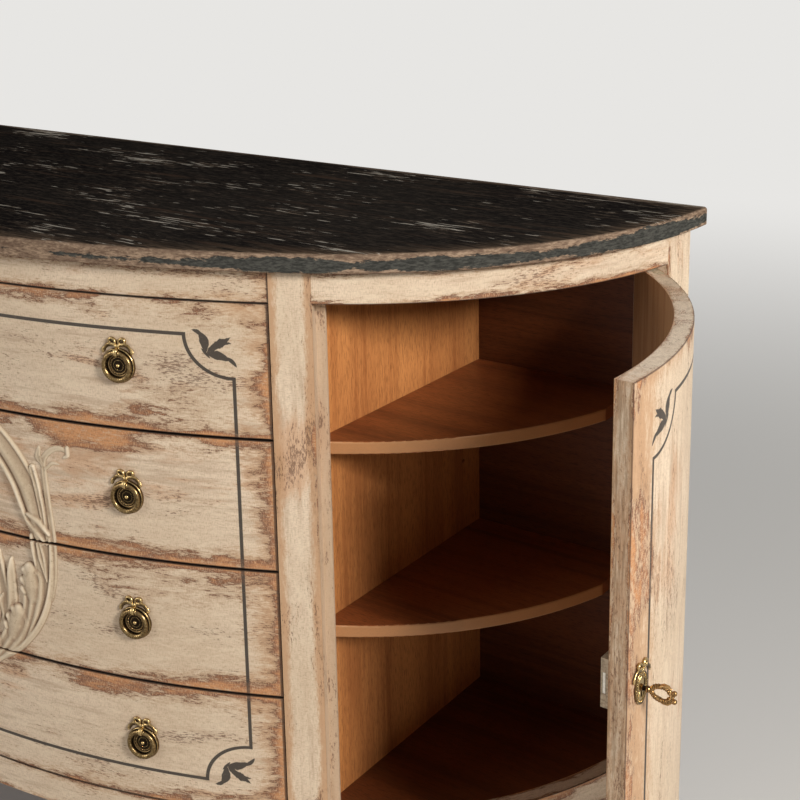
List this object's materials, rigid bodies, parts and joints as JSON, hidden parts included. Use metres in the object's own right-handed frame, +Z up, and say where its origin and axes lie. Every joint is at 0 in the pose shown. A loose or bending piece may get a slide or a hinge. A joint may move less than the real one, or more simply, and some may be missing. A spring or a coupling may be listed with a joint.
{
  "type": "credenza",
  "caption": "Half-moon painted credenza: bowed drawers with ring pulls and a carved wreath, between curved lockable cupboard doors with shelves behind them.",
  "frame": {"origin": "on the floor, below the middle of the part's box as it is stored, with the right door open", "axes": "+X to the right along the front, +Y to the wall behind it, +Z up"},
  "size_m": [1.8622, 0.5898, 0.914],
  "materials": {
    "slab_paint": "dark worn paint, waxed",
    "cream_paint": "cream paint, rubbed through to the wood",
    "carved_paint": "cream paint over carving, brown in its hollows",
    "cupboard_wood": "waxed red-brown veneer",
    "drawer_wood": "bare softwood",
    "aged_brass": "darkened in its hollows, bright where it is rubbed",
    "lock_steel": "old and dull",
    "hinge_brass": "dull"
  },
  "bodies": {
    "carcass": {"top_slab": "slab_paint", "centre_frieze_rail": "cream_paint", "centre_base_rail": "cream_paint", "back_panel": "cupboard_wood", "back_top_rail": "cupboard_wood", "bottom_board": "cupboard_wood", "shelf_pins": "hinge_brass", "drawer_runners": "drawer_wood", "frame_hinge_leaves": "hinge_brass", "right_frieze_rail": "cream_paint", "right_base_rail": "cream_paint", "right_front_leg": "cream_paint", "right_rear_leg": "cream_paint", "right_divider": "cupboard_wood", "right_upper_shelf": "cupboard_wood", "right_lower_shelf": "cupboard_wood", "left_frieze_rail": "cream_paint", "left_base_rail": "cream_paint", "left_front_leg": "cream_paint", "left_rear_leg": "cream_paint", "left_divider": "cupboard_wood", "left_upper_shelf": "cupboard_wood", "left_lower_shelf": "cupboard_wood"},
    "drawer_1": {"drawer_1_front": "cream_paint", "drawer_1_box": "drawer_wood", "carved_wreath_1": "carved_paint", "drawer_1_pull_plates": "aged_brass"},
    "drawer_1_left_ring": {"drawer_1_left_ring": "aged_brass"},
    "drawer_1_right_ring": {"drawer_1_right_ring": "aged_brass"},
    "drawer_2": {"drawer_2_front": "cream_paint", "drawer_2_box": "drawer_wood", "carved_wreath_2": "carved_paint", "drawer_2_pull_plates": "aged_brass"},
    "drawer_2_left_ring": {"drawer_2_left_ring": "aged_brass"},
    "drawer_2_right_ring": {"drawer_2_right_ring": "aged_brass"},
    "drawer_3": {"drawer_3_front": "cream_paint", "drawer_3_box": "drawer_wood", "carved_wreath_3": "carved_paint", "drawer_3_pull_plates": "aged_brass"},
    "drawer_3_left_ring": {"drawer_3_left_ring": "aged_brass"},
    "drawer_3_right_ring": {"drawer_3_right_ring": "aged_brass"},
    "drawer_4": {"drawer_4_front": "cream_paint", "drawer_4_box": "drawer_wood", "carved_wreath_4": "carved_paint", "drawer_4_pull_plates": "aged_brass"},
    "drawer_4_left_ring": {"drawer_4_left_ring": "aged_brass"},
    "drawer_4_right_ring": {"drawer_4_right_ring": "aged_brass"},
    "right_door": {"right_door": "cream_paint", "right_escutcheon": "aged_brass", "right_lock_case": "lock_steel", "right_door_hinge_leaves": "hinge_brass"},
    "right_key": {"right_key": "aged_brass"},
    "right_lock_bolt": {"right_lock_bolt": "lock_steel"},
    "left_door": {"left_door": "cream_paint", "left_escutcheon": "aged_brass", "left_lock_case": "lock_steel", "left_door_hinge_leaves": "hinge_brass"},
    "left_key": {"left_key": "aged_brass"},
    "left_lock_bolt": {"left_lock_bolt": "lock_steel"}
  },
  "joints": [
    {"name": "drawer_1_slide", "type": "slide", "parent": "carcass", "child": "drawer_1", "axis": [0, -1, 0], "range_m": [0, 0.28]},
    {"name": "drawer_1_left_ring_swing", "type": "hinge", "parent": "drawer_1", "child": "drawer_1_left_ring", "pos_m": [-0.43034, -0.2366, 0.78275], "axis": [-0.9603, 0.2789, 0], "range_deg": [0, 95]},
    {"name": "drawer_1_right_ring_swing", "type": "hinge", "parent": "drawer_1", "child": "drawer_1_right_ring", "pos_m": [0.2501, -0.2366, 0.78275], "axis": [-0.9603, -0.2789, 0], "range_deg": [0, 95]},
    {"name": "drawer_2_slide", "type": "slide", "parent": "carcass", "child": "drawer_2", "axis": [0, -1, 0], "range_m": [0, 0.28]},
    {"name": "drawer_2_left_ring_swing", "type": "hinge", "parent": "drawer_2", "child": "drawer_2_left_ring", "pos_m": [-0.43034, -0.2366, 0.61775], "axis": [-0.9603, 0.2789, 0], "range_deg": [0, 95]},
    {"name": "drawer_2_right_ring_swing", "type": "hinge", "parent": "drawer_2", "child": "drawer_2_right_ring", "pos_m": [0.2501, -0.2366, 0.61775], "axis": [-0.9603, -0.2789, 0], "range_deg": [0, 95]},
    {"name": "drawer_3_slide", "type": "slide", "parent": "carcass", "child": "drawer_3", "axis": [0, -1, 0], "range_m": [0, 0.28]},
    {"name": "drawer_3_left_ring_swing", "type": "hinge", "parent": "drawer_3", "child": "drawer_3_left_ring", "pos_m": [-0.43034, -0.2366, 0.45275], "axis": [-0.9603, 0.2789, 0], "range_deg": [0, 95]},
    {"name": "drawer_3_right_ring_swing", "type": "hinge", "parent": "drawer_3", "child": "drawer_3_right_ring", "pos_m": [0.2501, -0.2366, 0.45275], "axis": [-0.9603, -0.2789, 0], "range_deg": [0, 95]},
    {"name": "drawer_4_slide", "type": "slide", "parent": "carcass", "child": "drawer_4", "axis": [0, -1, 0], "range_m": [0, 0.28]},
    {"name": "drawer_4_left_ring_swing", "type": "hinge", "parent": "drawer_4", "child": "drawer_4_left_ring", "pos_m": [-0.43034, -0.2366, 0.28775], "axis": [-0.9603, 0.2789, 0], "range_deg": [0, 95]},
    {"name": "drawer_4_right_ring_swing", "type": "hinge", "parent": "drawer_4", "child": "drawer_4_right_ring", "pos_m": [0.2501, -0.2366, 0.28775], "axis": [-0.9603, -0.2789, 0], "range_deg": [0, 95]},
    {"name": "right_door_swing", "type": "hinge", "parent": "carcass", "child": "right_door", "pos_m": [0.71883, 0.207, 0.194], "axis": [0, 0, 1], "range_deg": [-58.9, 36.1]},
    {"name": "right_key_turn", "type": "hinge", "parent": "right_door", "child": "right_key", "pos_m": [0.89011, -0.15859, 0.522], "axis": [1, -0.0054, 0], "range_deg": [0, 90]},
    {"name": "right_bolt_throw", "type": "slide", "parent": "right_door", "child": "right_lock_bolt", "axis": [-0.0054, -1, 0], "range_m": [0, 0.0091]},
    {"name": "left_door_swing", "type": "hinge", "parent": "carcass", "child": "left_door", "pos_m": [-0.89907, 0.207, 0.194], "axis": [0, 0, -1], "range_deg": [0, 95]},
    {"name": "left_key_turn", "type": "hinge", "parent": "left_door", "child": "left_key", "pos_m": [-0.6745, -0.1285, 0.522], "axis": [-0.5119, -0.859, 0], "range_deg": [0, 90]},
    {"name": "left_bolt_throw", "type": "slide", "parent": "left_door", "child": "left_lock_bolt", "axis": [0.859, -0.5119, 0], "range_m": [0, 0.0091]}
  ],
  "couplings": [
    {"joint": "right_bolt_throw", "follows": "right_key_turn", "m_per_rad": 0.0057296},
    {"joint": "left_bolt_throw", "follows": "left_key_turn", "m_per_rad": 0.0057296}
  ]
}
